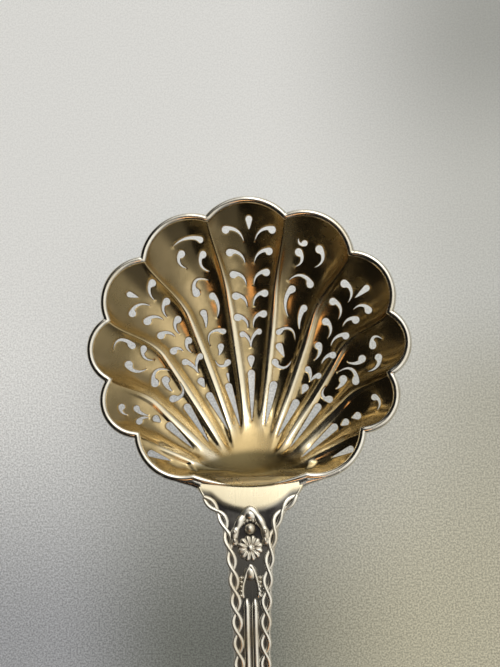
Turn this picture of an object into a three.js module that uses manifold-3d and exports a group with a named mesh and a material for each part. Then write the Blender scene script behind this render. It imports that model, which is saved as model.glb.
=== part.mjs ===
// A sugar sifter spoon. The bowl is one pressed and pierced scallop shell, gilt inside. A cast
// silver stem is soldered to its heel, and the trellis borders, hood, rosette, bud and rods are
// dressed pieces soldered on the stem's flat face. Millimetres, +Z up, the bowl towards +Y.
import * as THREE from 'three';
import { mergeVertices } from 'three/addons/utils/BufferGeometryUtils.js';
import Module from 'manifold-3d';

// Bowl: the hub is the point that the ribs radiate from, low on the heel wall.
const bowlWidth = 52;
const hubToBowlCentre = 17.4;
const dishLength = 0.9;
const sheetThickness = 0.8;
const rimHeight = 11;
const rimSlope = 1.5;
const dishPower = 2.4;
const lobeSagitta = 3;
const endLobeSagitta = 2.6;
const dishRadius = bowlWidth / 2 - lobeSagitta;
const fluteDepth = 0.9;
const heelBack = 2.9;
const rimWireRadius = 0.5;
const rimWireSink = 0.38;
const ribFootDrop = 4.2;
const ribFootReach = 8;
const pierceRadius = 0.6;

// Stem: its face line is a Bezier curve in the middle plane, from the heel to the end.
const stemReach = 118;
const stemFootLength = 13;
const stemArchRise = 11.7;
const stemArchReach = 40;
const stemFootReach = 80;
const stemWidth = 8.9;
const stemThickness = 2.1;
const heelThickness = 3.4;
const heelTaper = 9;
const stemEdge = 1.1;
const heelOverrun = 4;

// Dressing on the stem's face, at distances along the face from the heel.
const solderGap = 0.06;
const heelGap = 0.1;
const trellisPitch = 3.3;
const trellisSwing = 0.62;
const trellisShoulderSwing = 0.5;
const trellisSpreadFrom = 8.5;
const trellisSpreadTo = 20;
const strandWidth = 0.5;
const strandHeight = 0.45;
const borderMargin = 0.05;
const borderStart = 0.9;
const hoodTip = 3.4;
const hoodLength = 5.6;
const hoodHalfWidth = 2.75;
const hoodBand = 0.8;
const hoodHeight = 0.9;
const knobAt = 6.4;
const knobWidth = 2.1;
const knobLength = 2.5;
const knobHeight = 0.8;
const rosetteAt = 9.95;
const rosetteRadius = 2.1;
const rosetteHeight = 0.5;
const petalCount = 12;
const budTip = 12.6;
const budLength = 5;
const budHalfWidth = 1.3;
const budBand = 0.5;
const budHeight = 0.7;
const rodStart = 17.8;
const rodWidth = 0.6;
const rodHeight = 0.5;
const rodSpacing = 1.3;
const dressGap = 4.8;
const medalLength = 15;
const medalMargin = 1.5;
const medalWidth = 8.6;
const medalWire = 0.7;

// Angles of the ribs from straight ahead, at the rim and half way down, in degrees, and how far
// the rim's notches lie from the hub. The last entry is the corner where the heel line begins.
const ribRimAngles = [9, 26.3, 43, 57, 72.5, 98.5];
const ribMidAngles = [7.5, 21.5, 36, 52, 73, 98.5];
const notchReachShares = [0.792, 0.736, 0.646, 0.521, 0.368, 0.178];
const lobesPerSide = ribRimAngles.length - 1;
const rowShares = [0.1, 0.22, 0.35, 0.48, 0.61, 0.74, 0.87, 1];
const lobeSteps = 5;
const heelSteps = 8;
const bendStartShare = 0.72;
const rimWireSides = 6;

// The flutes grow between the first two shares of the way out, and fade between the last two.
const fluteShares = [0.1, 0.5, 0.75, 1];
const reachPasses = 30;
const reachEase = 0.7;

const gilt = new THREE.MeshStandardMaterial({ color: 0xc9a45c, roughness: 0.25, metalness: 1 });
const silver = new THREE.MeshStandardMaterial({ color: 0xcfc9ba, roughness: 0.3, metalness: 1 });
const root = new THREE.Group();

const wasm = await Module();
wasm.setup();

function solid(geometry) {
  const plain = geometry.clone();
  plain.deleteAttribute('normal');
  plain.deleteAttribute('uv');
  const merged = mergeVertices(plain);
  return new wasm.Manifold(new wasm.Mesh({
    numProp: 3,
    vertProperties: new Float32Array(merged.attributes.position.array),
    triVerts: new Uint32Array(merged.index.array),
  }));
}

function geometryOf(body) {
  const mesh = body.getMesh();
  const geometry = new THREE.BufferGeometry();
  geometry.setAttribute('position', new THREE.BufferAttribute(mesh.vertProperties, 3));
  geometry.setIndex(new THREE.BufferAttribute(mesh.triVerts, 1));
  return geometry;
}

function add(name, geometry, material) {
  geometry.computeVertexNormals();
  const mesh = new THREE.Mesh(geometry, material);
  mesh.name = name;
  root.add(mesh);
}

// A closed body through rings of points, each ring turning the same way round.
function loft(rings, closed = false) {
  const count = rings[0].length;
  const positions = rings.flat().flatMap((point) => [point.x, point.y, point.z]);
  const index = [];
  const spans = closed ? rings.length : rings.length - 1;
  for (let ring = 0; ring < spans; ring += 1) {
    const next = (ring + 1) % rings.length;
    for (let side = 0; side < count; side += 1) {
      const turn = (side + 1) % count;
      const [a, b] = [ring * count + side, ring * count + turn];
      const [c, d] = [next * count + turn, next * count + side];
      index.push(a, b, c, a, c, d);
    }
  }
  if (!closed) {
    const last = (rings.length - 1) * count;
    for (let side = 1; side < count - 1; side += 1) {
      index.push(0, side + 1, side);
      index.push(last, last + side, last + side + 1);
    }
  }
  const geometry = new THREE.BufferGeometry();
  geometry.setAttribute('position', new THREE.Float32BufferAttribute(positions, 3));
  geometry.setIndex(index);
  return geometry;
}

function smoothstep(low, high, value) {
  return THREE.MathUtils.smoothstep(value, low, high);
}

// The smooth dish under the flutes: its rim is an egg about the bowl's centre, and its height
// grows with a power of the share of the way out to that rim.
function eggRadius(cosine) {
  return dishRadius + dishLength * cosine;
}

function dishHeight(x, y) {
  const reach = Math.hypot(x, y - hubToBowlCentre);
  if (reach === 0) return 0;
  const cosine = (y - hubToBowlCentre) / reach;
  const share = reach / eggRadius(cosine);
  return (rimHeight - rimSlope * cosine) * share ** dishPower;
}

function dishSteepness(x, y) {
  const step = sheetThickness / 2;
  const slopeX = (dishHeight(x + step, y) - dishHeight(x - step, y)) / (2 * step);
  const slopeY = (dishHeight(x, y + step) - dishHeight(x, y - step)) / (2 * step);
  return Math.hypot(1, slopeX, slopeY);
}

// Where a straight line from the hub along a unit direction meets the egg.
function eggReach(direction) {
  let reach = dishRadius;
  for (let pass = 0; pass < reachPasses; pass += 1) {
    const x = direction.x * reach;
    const y = direction.y * reach - hubToBowlCentre;
    const away = Math.hypot(x, y);
    reach += (eggRadius(y / away) - away) * reachEase;
  }
  return reach;
}

function notch(rib) {
  const angle = THREE.MathUtils.degToRad(ribRimAngles[Math.abs(rib) - 1]) * Math.sign(rib);
  const reach = notchReachShares[Math.abs(rib) - 1] * bowlWidth;
  return new THREE.Vector2(Math.sin(angle) * reach, Math.cos(angle) * reach);
}

// One line of the bowl from the hub to the rim. Its place runs from -5.5 to 5.5: whole numbers
// are the middles of the eleven lobes, and the halves between them are the ribs.
function lobeLine(place) {
  const lobe = THREE.MathUtils.clamp(Math.round(place), -lobesPerSide, lobesPerSide);
  const across = THREE.MathUtils.clamp(2 * (place - lobe), -1, 1);
  const ribs = [lobe < 1 ? lobe - 1 : lobe, lobe < 0 ? lobe : lobe + 1];
  const [from, to] = ribs.map(notch);
  const chord = to.clone().sub(from);
  const half = chord.length() / 2;
  const sagitta = Math.abs(lobe) < lobesPerSide ? lobeSagitta : endLobeSagitta;
  const arcRadius = (half * half + sagitta * sagitta) / (2 * sagitta);
  const outward = new THREE.Vector2(-chord.y, chord.x).normalize();
  const centre = from.clone().add(to).multiplyScalar(0.5);
  centre.addScaledVector(outward, sagitta - arcRadius);
  const swing = across * Math.asin(half / arcRadius);
  const edge = centre.addScaledVector(outward, arcRadius * Math.cos(swing));
  edge.addScaledVector(chord.normalize(), arcRadius * Math.sin(swing));
  const middle = ribs.map((rib) => ribMidAngles[Math.abs(rib) - 1] * Math.sign(rib));
  const midAngle = THREE.MathUtils.degToRad(THREE.MathUtils.lerp(...middle, (across + 1) / 2));
  const aim = 1 - smoothstep(lobesPerSide - 1, lobesPerSide + 0.5, Math.abs(place));
  return line(edge, midAngle - Math.atan2(edge.x, edge.y), 1 - across * across, aim);
}

function heelLine(across) {
  const corner = notch(ribRimAngles.length);
  const crown = (1 - across * across) * (heelBack + corner.y);
  return line(new THREE.Vector2(corner.x * across, corner.y - crown), 0, 0, 0);
}

function line(edge, bend, bulge, aim) {
  const share = eggReach(edge.clone().normalize()) / edge.length();
  return { edge, bend, bulge, aim, share };
}

// The ribs bend inwards from the rim, and near the hub they aim at a point behind it.
function planPoint({ edge, bend, aim }, out) {
  const turn = bend * (1 - smoothstep(bendStartShare, 1, out));
  const point = edge.clone().multiplyScalar(out);
  const drop = ribFootDrop * (1 - out) * smoothstep(0, ribFootReach, point.length()) * aim;
  point.rotateAround(new THREE.Vector2(), -turn);
  return point.setY(point.y - drop);
}

function insideHeight(bowlLine, out) {
  const plan = planPoint(bowlLine, out).multiplyScalar(bowlLine.share);
  const [start, full, fading, end] = fluteShares;
  const fade = smoothstep(start, full, out) * (1 - smoothstep(fading, end, out));
  return dishHeight(plan.x, plan.y) - fluteDepth * bowlLine.bulge * fade;
}

function outsideHeight(bowlLine, out) {
  const plan = planPoint(bowlLine, out).multiplyScalar(bowlLine.share);
  return insideHeight(bowlLine, out) - sheetThickness * dishSteepness(plan.x, plan.y);
}

function bowlLines() {
  const lines = [];
  for (let step = 0; step <= (2 * lobesPerSide + 1) * lobeSteps; step += 1) {
    lines.push(lobeLine(step / lobeSteps - lobesPerSide - 0.5));
  }
  for (let step = 1; step < heelSteps; step += 1) {
    lines.push(heelLine(1 - (2 * step) / heelSteps));
  }
  return lines;
}

// The direction square to the outline, out of the bowl.
function outward(lines, at) {
  const before = lines[(at + lines.length - 1) % lines.length].edge;
  const along = lines[(at + 1) % lines.length].edge.clone().sub(before).normalize();
  return new THREE.Vector2(-along.y, along.x);
}

// The space between an upper and a lower surface over the bowl's outline, with an optional skirt
// that carries the rim's heights outwards.
function dishBody(lines, upper, lower, skirt = 0) {
  const outs = skirt > 0 ? [...rowShares, 1] : rowShares;
  const positions = [];
  const place = (bowlLine, at, out, grow, height) => {
    const plan = planPoint(bowlLine, out).addScaledVector(outward(lines, at), grow);
    positions.push(plan.x, plan.y, height(bowlLine, out));
  };
  for (const height of [upper, lower]) {
    positions.push(0, 0, height(lines[0], 0));
    outs.forEach((out, row) => {
      const grow = row === rowShares.length ? skirt : 0;
      lines.forEach((bowlLine, at) => place(bowlLine, at, out, grow, height));
    });
  }
  const count = lines.length;
  const bottom = 1 + outs.length * count;
  const index = [];
  const both = (a, b, c) => {
    index.push(a, b, c, bottom + a, bottom + c, bottom + b);
  };
  for (let side = 0; side < count; side += 1) {
    const next = (side + 1) % count;
    both(0, 1 + next, 1 + side);
    for (let row = 0; row < outs.length - 1; row += 1) {
      const near = 1 + row * count;
      const far = near + count;
      both(near + next, far + next, far + side);
      both(near + next, far + side, near + side);
    }
    const edge = 1 + (outs.length - 1) * count;
    index.push(edge + side, edge + next, bottom + edge + next);
    index.push(edge + side, bottom + edge + next, bottom + edge + side);
  }
  const geometry = new THREE.BufferGeometry();
  geometry.setAttribute('position', new THREE.Float32BufferAttribute(positions, 3));
  geometry.setIndex(index);
  return geometry;
}

// The rounded edge of the sheet, as a wire round the whole outline.
function rimWire(lines) {
  const sides = rimWireSides;
  const centres = lines.map((bowlLine) => {
    const plan = planPoint(bowlLine, 1);
    return new THREE.Vector3(plan.x, plan.y, insideHeight(bowlLine, 1) - rimWireSink);
  });
  const rings = centres.map((centre, at) => {
    const { x, y } = outward(lines, at);
    const across = new THREE.Vector3(x, y, 0);
    return Array.from({ length: sides }, (_, side) => {
      const turn = (2 * Math.PI * side) / sides;
      const point = centre.clone().addScaledVector(across, rimWireRadius * Math.cos(turn));
      point.z += rimWireRadius * Math.sin(turn);
      return point;
    });
  });
  return loft(rings, true);
}

// Piercings. Each is a comma from a round head to a point: [head, tip, head radius, bow], with
// head and tip as [share across the half lobe, share of the way out] and bow as a share of the
// comma's length. Lobes alternate between two patterns, with simpler ones near the heel.
const scrollShares = [
  [[-0.5, 0.915], [0.1, 0.925], 0.85, 0.25],
  [[0.05, 0.895], [0.18, 0.84], 0.95, 0.3],
  [[-0.5, 0.868], [-0.48, 0.81], 0.95, 0.3],
  [[0.35, 0.775], [-0.45, 0.768], 1, -0.35],
  [[-0.28, 0.728], [-0.23, 0.638], 0.95, -0.15],
  [[0.38, 0.693], [0.46, 0.63], 0.85, -0.05],
  [[-0.53, 0.587], [0.45, 0.57], 0.8, 0.4],
  [[-0.28, 0.532], [0.05, 0.505], 0.85, 0],
  [[-0.45, 0.477], [0.49, 0.516], 0.85, -0.35],
  [[-0.2, 0.39], [-0.38, 0.24], 1.05, 0],
];
const shortScrollShares = [
  [[-0.5, 0.85], [-0.3, 0.9], 0.95, 0.45],
  [[-0.6, 0.805], [-0.48, 0.735], 0.85, 0.2],
  [[0.08, 0.85], [0, 0.765], 0.95, 0.25],
  [[0.4, 0.74], [-0.65, 0.66], 0.95, -0.4],
  [[-0.15, 0.655], [-0.1, 0.6], 0.95, 0.1],
  [[0.1, 0.585], [-0.7, 0.58], 0.8, 0.3],
  [[-0.25, 0.49], [0.15, 0.3], 1, 0],
];
const shortLeafShares = [
  [[-0.45, 0.885], [-0.15, 0.88], 1, 0.2],
  [[-0.4, 0.826], [-0.3, 0.757], 0.8, 0.1],
  [[0.02, 0.823], [-0.17, 0.757], 0.85, -0.15],
  [[-0.25, 0.705], [-0.25, 0.67], 0.95, 0],
  [[-0.35, 0.61], [-0.12, 0.4], 1, 0],
];
const heelSlotShares = [[[-0.57, 0.92], [-0.3, 0.8], 0.9, 0]];

// A leaf pattern down a lobe: a teardrop, pairs of commas like the leaves on a stalk, a fork, a
// dot and a long slot, whose foot leans across.
function leafShares(pairs, topShare, lowShare, leanShare) {
  const [half, inner, fall] = [0.6, 0.17, 0.055];
  const commas = [[[0, topShare + 0.013], [0, topShare - 0.02], 1, 0]];
  for (let pair = 0; pair < pairs; pair += 1) {
    const out = THREE.MathUtils.lerp(topShare, lowShare, pair / (pairs - 1));
    for (const side of [-1, 1]) {
      commas.push([[side * half, out], [side * inner, out - fall], 1, side * -0.22]);
    }
  }
  for (const side of [-1, 1]) {
    commas.push([[side * 0.43, 0.56], [side * 0.04, 0.503], 0.8, side * -0.15]);
  }
  commas.push([[0, 0.465], [0, 0.44], 1, 0], [[leanShare / 2, 0.41], [leanShare, 0.245], 1, 0]);
  return commas;
}

const lobePatterns = [
  leafShares(5, 0.925, 0.63, 0),
  scrollShares,
  leafShares(4, 0.89, 0.655, -0.4),
  shortScrollShares,
  shortLeafShares,
  heelSlotShares,
];

// The head is an arc from one flank to the other, in turns, and the flanks taper to the tip.
const headTurns = [0.58, 0.86, 1.14, 1.42];
const flankShares = [0.3, 0.68];
const flankTaper = 0.7;

function commaShape(lobe, [head, tip, size, bow]) {
  const mirror = lobe < 0 ? -1 : 1;
  const [start, end] = [head, tip].map(([across, out]) => (
    planPoint(lobeLine(lobe + (mirror * across) / 2), out)));
  const along = end.clone().sub(start);
  const control = start.clone().add(end).multiplyScalar(0.5);
  control.add(new THREE.Vector2(-along.y, along.x).multiplyScalar(2 * bow * mirror));
  const spine = new THREE.QuadraticBezierCurve(start, control, end);
  const radius = size * pierceRadius;
  const heading = spine.getTangent(0).angle();
  const points = headTurns.map((halfTurn) => {
    const turn = heading + Math.PI * halfTurn;
    return new THREE.Vector2(Math.cos(turn), Math.sin(turn)).multiplyScalar(radius).add(start);
  });
  const flank = (share, side) => {
    const tangent = spine.getTangent(share);
    const width = side * radius * (1 - share) ** flankTaper;
    return spine.getPoint(share).add(new THREE.Vector2(-tangent.y, tangent.x)
      .multiplyScalar(width));
  };
  const [near, far] = flankShares;
  points.push(flank(near, -1), flank(far, -1), end, flank(far, 1), flank(near, 1));
  return new THREE.Shape(points);
}

function bowl() {
  const lines = bowlLines();
  let body = solid(dishBody(lines, insideHeight, outsideHeight));
  const depth = 2 * rimHeight;
  for (let lobe = -lobesPerSide; lobe <= lobesPerSide; lobe += 1) {
    for (const comma of lobePatterns[Math.abs(lobe)]) {
      const cut = new THREE.ExtrudeGeometry(commaShape(lobe, comma), {
        depth, steps: 1, bevelEnabled: false,
      });
      cut.translate(0, 0, -depth / 2);
      body = body.subtract(solid(cut));
    }
  }
  return body.add(solid(rimWire(lines)));
}

// The stem's face line: an arch from the heel down to a straight foot, whose underside is level
// with the lowest point of the bowl.
const bowlFloor = Math.min(...bowlLines().flatMap((bowlLine) => (
  rowShares.map((out) => outsideHeight(bowlLine, out)))));
const stemStart = new THREE.Vector2(-heelBack, rimHeight + rimSlope - rimWireRadius);
const footStart = new THREE.Vector2(stemFootLength - stemReach, bowlFloor + stemThickness);
const faceLine = new THREE.CurvePath();
faceLine.add(new THREE.CubicBezierCurve(
  stemStart,
  new THREE.Vector2(-stemArchReach, stemStart.y + stemArchRise),
  new THREE.Vector2(-stemFootReach, footStart.y),
  footStart,
));
faceLine.add(new THREE.LineCurve(footStart, new THREE.Vector2(-stemReach, footStart.y)));
const faceLength = faceLine.getLength();
const medalAt = faceLength - medalMargin - medalLength / 2;
const rodEnd = medalAt - (medalLength + medalWire) / 2 - dressGap;

// A point at a distance along the face, across it, and at a height over it. Before the heel the
// face runs on straight.
function onFace(along, across, height) {
  const share = THREE.MathUtils.clamp(along / faceLength, 0, 1);
  const point = faceLine.getPoint(share);
  const tangent = faceLine.getTangent(share);
  point.addScaledVector(tangent, Math.min(along, 0));
  return new THREE.Vector3(
    across,
    point.x + tangent.y * height,
    point.y - tangent.x * height,
  );
}

// Half widths of the stem as shares of its width at the shoulder, at shares of its length.
const outlineShares = [
  [0, 1.04], [0.012, 0.86], [0.025, 0.7], [0.042, 0.575], [0.066, 0.5], [0.1, 0.43],
  [0.15, 0.38], [0.24, 0.335], [0.42, 0.322], [0.76, 0.32], [0.82, 0.38], [0.86, 0.5],
  [0.9, 0.62], [0.935, 0.66], [0.965, 0.58], [0.985, 0.42], [1, 0.16],
];
const outline = new THREE.SplineCurve(outlineShares.map(([at, half]) => (
  new THREE.Vector2(at * faceLength, half * stemWidth))));
const outlineSteps = 48;
const stemFlatShare = 0.55;
const outlinePoints = outline.getSpacedPoints(outlineSteps);

function thickness(along) {
  const taper = 1 - smoothstep(0, heelTaper, along);
  return THREE.MathUtils.lerp(stemThickness, heelThickness, taper);
}

function stemRing(along, half) {
  const back = thickness(along);
  const flat = stemFlatShare;
  const section = [
    [-1, 0], [-1, -stemEdge], [-flat, -back], [flat, -back], [1, -stemEdge], [1, 0],
  ];
  return section.map(([across, height]) => onFace(along, across * half, height));
}

function stem() {
  const rings = outlinePoints.map(({ x, y }) => stemRing(x, y));
  rings.unshift(stemRing(-heelOverrun, outlinePoints[0].y));
  const space = dishBody(
    bowlLines(),
    () => 4 * rimHeight,
    (bowlLine, out) => outsideHeight(bowlLine, out) - heelGap,
    rimWireRadius + heelGap,
  );
  const parts = solid(loft(rings)).subtract(solid(space)).decompose();
  return parts.reduce((best, piece) => (piece.volume() > best.volume() ? piece : best));
}

// A strip of three-sided section lying on the face along a route of [along, across] points.
function strip(route, width, height) {
  const rings = route.map((point, at) => {
    const before = route[Math.max(at - 1, 0)];
    const after = route[Math.min(at + 1, route.length - 1)];
    const way = new THREE.Vector2().subVectors(after, before).normalize();
    const side = new THREE.Vector2(-way.y, way.x).multiplyScalar(width / 2);
    return [
      onFace(point.x - side.x, point.y - side.y, solderGap),
      onFace(point.x + side.x, point.y + side.y, solderGap),
      onFace(point.x, point.y, solderGap + height),
    ];
  });
  return loft(rings);
}

function swingAt(along) {
  const spread = smoothstep(trellisSpreadFrom, trellisSpreadTo, along);
  return THREE.MathUtils.lerp(trellisShoulderSwing, trellisSwing, spread);
}

// Where a diamond's outside and inside corners lie, as shares of its length.
const outerCornerShares = [0.36, 0.64];
const innerCornerShares = [0.42, 0.58];
const innerEndShares = [0.14, 0.86];
const guideDivisions = 600;

// The border is a chain of diamonds: two strands that swing apart and cross. It is drawn flat
// along a guide line inside the stem's edge, extruded, and bent onto the face.
function borderGuide(side) {
  const inset = (along) => swingAt(along) + strandWidth / 2 + borderMargin;
  const edge = outlinePoints.filter(({ x }) => x < rodEnd).map(({ x, y }) => (
    new THREE.Vector2(Math.max(x, borderStart), side * (y - inset(x)))));
  const guide = new THREE.SplineCurve(edge);
  guide.arcLengthDivisions = guideDivisions;
  return guide;
}

function border(side) {
  const guide = borderGuide(side);
  const length = guide.getLength();
  const cells = Math.round(length / trellisPitch);
  const pitch = length / cells;
  const swing = (at) => swingAt(guide.getPointAt(Math.min(at / length, 1)).x);
  const across = (at, offset) => [at, swing(at) + offset];
  const upper = [[0, strandWidth / 2]];
  const holes = [];
  for (let cell = 0; cell < cells; cell += 1) {
    const at = (share) => (cell + share) * pitch;
    upper.push(...outerCornerShares.map((share) => across(at(share), strandWidth / 2)));
    upper.push([at(1), strandWidth / 2]);
    const inside = innerCornerShares.map((share) => across(at(share), -strandWidth / 2));
    const mirrored = inside.map(([x, y]) => [x, -y]);
    const [start, end] = innerEndShares.map((share) => [at(share), 0]);
    holes.push([start, ...mirrored, end, ...inside.reverse()]);
  }
  const points = ([x, y]) => new THREE.Vector2(x, y);
  const lower = upper.map(([x, y]) => [x, -y]).reverse();
  const shape = new THREE.Shape([...upper, ...lower].map(points));
  shape.holes = holes.map((hole) => new THREE.Path(hole.map(points)));
  const geometry = new THREE.ExtrudeGeometry(shape, {
    depth: strandHeight, steps: 1, bevelEnabled: false,
  });
  const place = geometry.attributes.position;
  for (let vertex = 0; vertex < place.count; vertex += 1) {
    const share = THREE.MathUtils.clamp(place.getX(vertex) / length, 0, 1);
    const way = guide.getTangentAt(share);
    const point = guide.getPointAt(share);
    const sideways = place.getY(vertex);
    const height = solderGap + place.getZ(vertex);
    const spot = onFace(point.x - way.y * sideways, point.y + way.x * sideways, height);
    place.setXYZ(vertex, spot.x, spot.y, spot.z);
  }
  geometry.deleteAttribute('normal');
  geometry.deleteAttribute('uv');
  return mergeVertices(geometry);
}

// A pointed arch: its tip towards the bowl, with feet that run straight down the stem.
const archShares = [
  [1, -1], [0.7, -1], [0.4, -0.75], [0.14, -0.38], [0, 0], [0.14, 0.38], [0.4, 0.75],
  [0.7, 1], [1, 1],
];

function archRoute(tip, length, half) {
  return archShares.map(([along, across]) => (
    new THREE.Vector2(tip + along * length, across * half)));
}

// A dome on the face: rings of points over an ellipse, each with its size and its rise. A cut
// draws every other point in, which makes a flower of it.
const domeShares = [[1, 0], [1, 0.45], [0.72, 0.85], [0.3, 1]];
const domeSides = 12;
const petalCutShare = 0.2;

function dome(along, length, width, height, sides = domeSides, cut = 0) {
  const rings = domeShares.map(([size, rise]) => (
    Array.from({ length: sides }, (_, side) => {
      const turn = (2 * Math.PI * side) / sides;
      const radius = size * (side % 2 ? 1 - cut : 1);
      return onFace(
        along + (radius * length * Math.cos(turn)) / 2,
        (radius * width * Math.sin(turn)) / 2,
        solderGap + rise * height,
      );
    })));
  return loft(rings);
}

const rodSectionShares = [[-0.5, 0], [0.5, 0], [0.3, 1], [-0.3, 1]];

function rod(side) {
  const route = outlinePoints.filter(({ x }) => x > rodStart && x < rodEnd).map(({ x }) => x);
  const places = [rodStart, ...route, rodEnd];
  return loft(places.map((along) => rodSectionShares.map(([across, rise]) => onFace(
    along,
    (side * rodSpacing) / 2 + across * rodWidth,
    solderGap + rise * rodHeight,
  ))));
}

// The oval wire round the end's plain reserve.
const medalSides = 24;
const medalSectionShares = [[0.5, 0], [-0.5, 0], [0, 1]];

function medalRing() {
  const rings = Array.from({ length: medalSides }, (_, at) => {
    const turn = (2 * Math.PI * at) / medalSides;
    return medalSectionShares.map(([out, rise]) => onFace(
      medalAt + (medalLength / 2 + out * medalWire) * Math.cos(turn),
      (medalWidth / 2 + out * medalWire) * Math.sin(turn),
      solderGap + rise * medalWire,
    ));
  });
  return loft(rings, true);
}

add('bowl', geometryOf(bowl()), gilt);
add('stem', geometryOf(stem()), silver);
add('border_left', border(-1), silver);
add('border_right', border(1), silver);
add('hood', strip(archRoute(hoodTip, hoodLength, hoodHalfWidth - hoodBand / 2), hoodBand,
  hoodHeight), silver);
add('knob', dome(knobAt, knobLength, knobWidth, knobHeight), silver);
add('rosette', dome(rosetteAt, 2 * rosetteRadius, 2 * rosetteRadius, rosetteHeight,
  2 * petalCount, petalCutShare), silver);
add('bud', strip(archRoute(budTip, budLength, budHalfWidth), budBand, budHeight), silver);
add('rod_left', rod(-1), silver);
add('rod_right', rod(1), silver);
add('medal_ring', medalRing(), silver);
add('medal_rosette', dome(medalAt, 2 * rosetteRadius, 2 * rosetteRadius, rosetteHeight,
  2 * petalCount, petalCutShare), silver);

const box = new THREE.Box3().setFromObject(root, true);
const middle = box.getCenter(new THREE.Vector3());
root.position.set(-middle.x, -middle.y, -box.min.z);
root.updateMatrixWorld(true);

export default root;
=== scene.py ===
"""A sugar sifter spoon: a pierced and gilt scallop bowl on a cast silver stem, dressed with
trellis borders, a hood, a rosette, a bud and a pair of rods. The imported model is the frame."""

import bpy
import numpy as np
from mathutils import Matrix, Vector
from mathutils.geometry import delaunay_2d_cdt


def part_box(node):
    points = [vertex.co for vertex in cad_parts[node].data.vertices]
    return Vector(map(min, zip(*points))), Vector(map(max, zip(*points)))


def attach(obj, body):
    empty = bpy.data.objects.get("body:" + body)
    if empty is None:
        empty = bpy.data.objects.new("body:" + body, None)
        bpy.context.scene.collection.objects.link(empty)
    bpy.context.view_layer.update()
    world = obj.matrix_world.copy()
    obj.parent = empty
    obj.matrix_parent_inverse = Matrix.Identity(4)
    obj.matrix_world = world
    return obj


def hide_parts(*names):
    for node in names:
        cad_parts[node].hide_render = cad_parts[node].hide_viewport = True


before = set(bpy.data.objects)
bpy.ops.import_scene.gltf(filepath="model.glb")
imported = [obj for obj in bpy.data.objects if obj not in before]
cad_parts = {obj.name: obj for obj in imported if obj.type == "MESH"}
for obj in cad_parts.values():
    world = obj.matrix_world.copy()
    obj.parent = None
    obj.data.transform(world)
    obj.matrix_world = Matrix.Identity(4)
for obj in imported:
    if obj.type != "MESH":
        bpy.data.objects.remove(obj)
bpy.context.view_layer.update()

# ---- The bowl's shape ----
# The bowl is one disc of sheet silver, pressed over a fluted die into a scallop of eleven lobes.
# Its ribs radiate from a hub low on the heel wall. All sizes are millimetres in the bowl's own
# frame, with the hub at the origin, until a piece is made.
MM = 0.001
BOWL_WIDTH = 52.0
HUB_TO_CENTRE = 17.4
DISH_LENGTH = 0.9
SHEET = 0.8
RIM_HEIGHT = 11.0
RIM_SLOPE = 1.5
DISH_POWER = 2.4
LOBE_SAGITTA, END_SAGITTA = 3.0, 2.6
DISH_RADIUS = BOWL_WIDTH / 2 - LOBE_SAGITTA
FLUTE_DEPTH = 0.9
HEEL_BACK = 2.9
RIM_RADIUS = 0.5
LOBES_PER_SIDE = 5
LOBES = np.arange(-LOBES_PER_SIDE, LOBES_PER_SIDE + 1)
HEEL_START, HEEL_MIDDLE = LOBES_PER_SIDE + 0.5, LOBES_PER_SIDE + 1.5
BEND_START = 0.72
CREST_WIDTH, CREST_TAPER, CREST_LEAN, RIDGE_SHARE = 0.82, 0.5, 0.1, 0.12
FLUTE_SHALLOW, FLUTE_GROWTH, FLUTE_FADE, LIP, LIP_START = 0.75, 0.35, 0.8, 0.25, 0.88
LOBE_SPAN, FAN_END = 0.29, 0.3
RIB_RIM_ANGLES = np.radians([9, 26.3, 43, 57, 72.5, 98.5])
RIB_MID_ANGLES = np.radians([7.5, 21.5, 36, 52, 73, 98.5])
RIB_FOOT_DROP, RIB_FOOT_REACH = 4.2, 8.0
RIB_PLACES, RIB_START = [0.5, 1.5, 2.5, 3.5, 4.5, 5.5], [0.27, 0.22, 0.2, 0.33, 0.48, 0.8]
NOTCH_REACH = BOWL_WIDTH * np.array([0.792, 0.736, 0.646, 0.521, 0.368, 0.178])


def smooth(low, high, value):
    """0 below low and 1 above high, with a level start and end between: 3t2 - 2t3."""
    share = np.clip((value - low) / (high - low), 0, 1)
    return share * share * (3 - 2 * share)


def dish_height(x, y):
    """The dish under the flutes: the rim's height times a power of the way out to an egg."""
    away = np.hypot(x, y - HUB_TO_CENTRE) + 1e-9
    cosine = (y - HUB_TO_CENTRE) / away
    rim = RIM_HEIGHT - RIM_SLOPE * cosine
    return rim * (away / (DISH_RADIUS + DISH_LENGTH * cosine)) ** DISH_POWER


def dish_steepness(x, y):
    """How much longer the dish's surface is than its plan: the root of 1 + slope squared."""
    step = SHEET / 2
    along = (dish_height(x + step, y) - dish_height(x - step, y)) / (2 * step)
    back = (dish_height(x, y + step) - dish_height(x, y - step)) / (2 * step)
    return np.sqrt(1 + along**2 + back**2)


def rib_value(rib, table, odd):
    """A table's value for ribs at -5.5 to 5.5. It changes sign with the side where odd."""
    value = table[np.rint(np.abs(rib) - 0.5).astype(int)]
    return value * np.sign(rib) if odd else value


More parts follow.
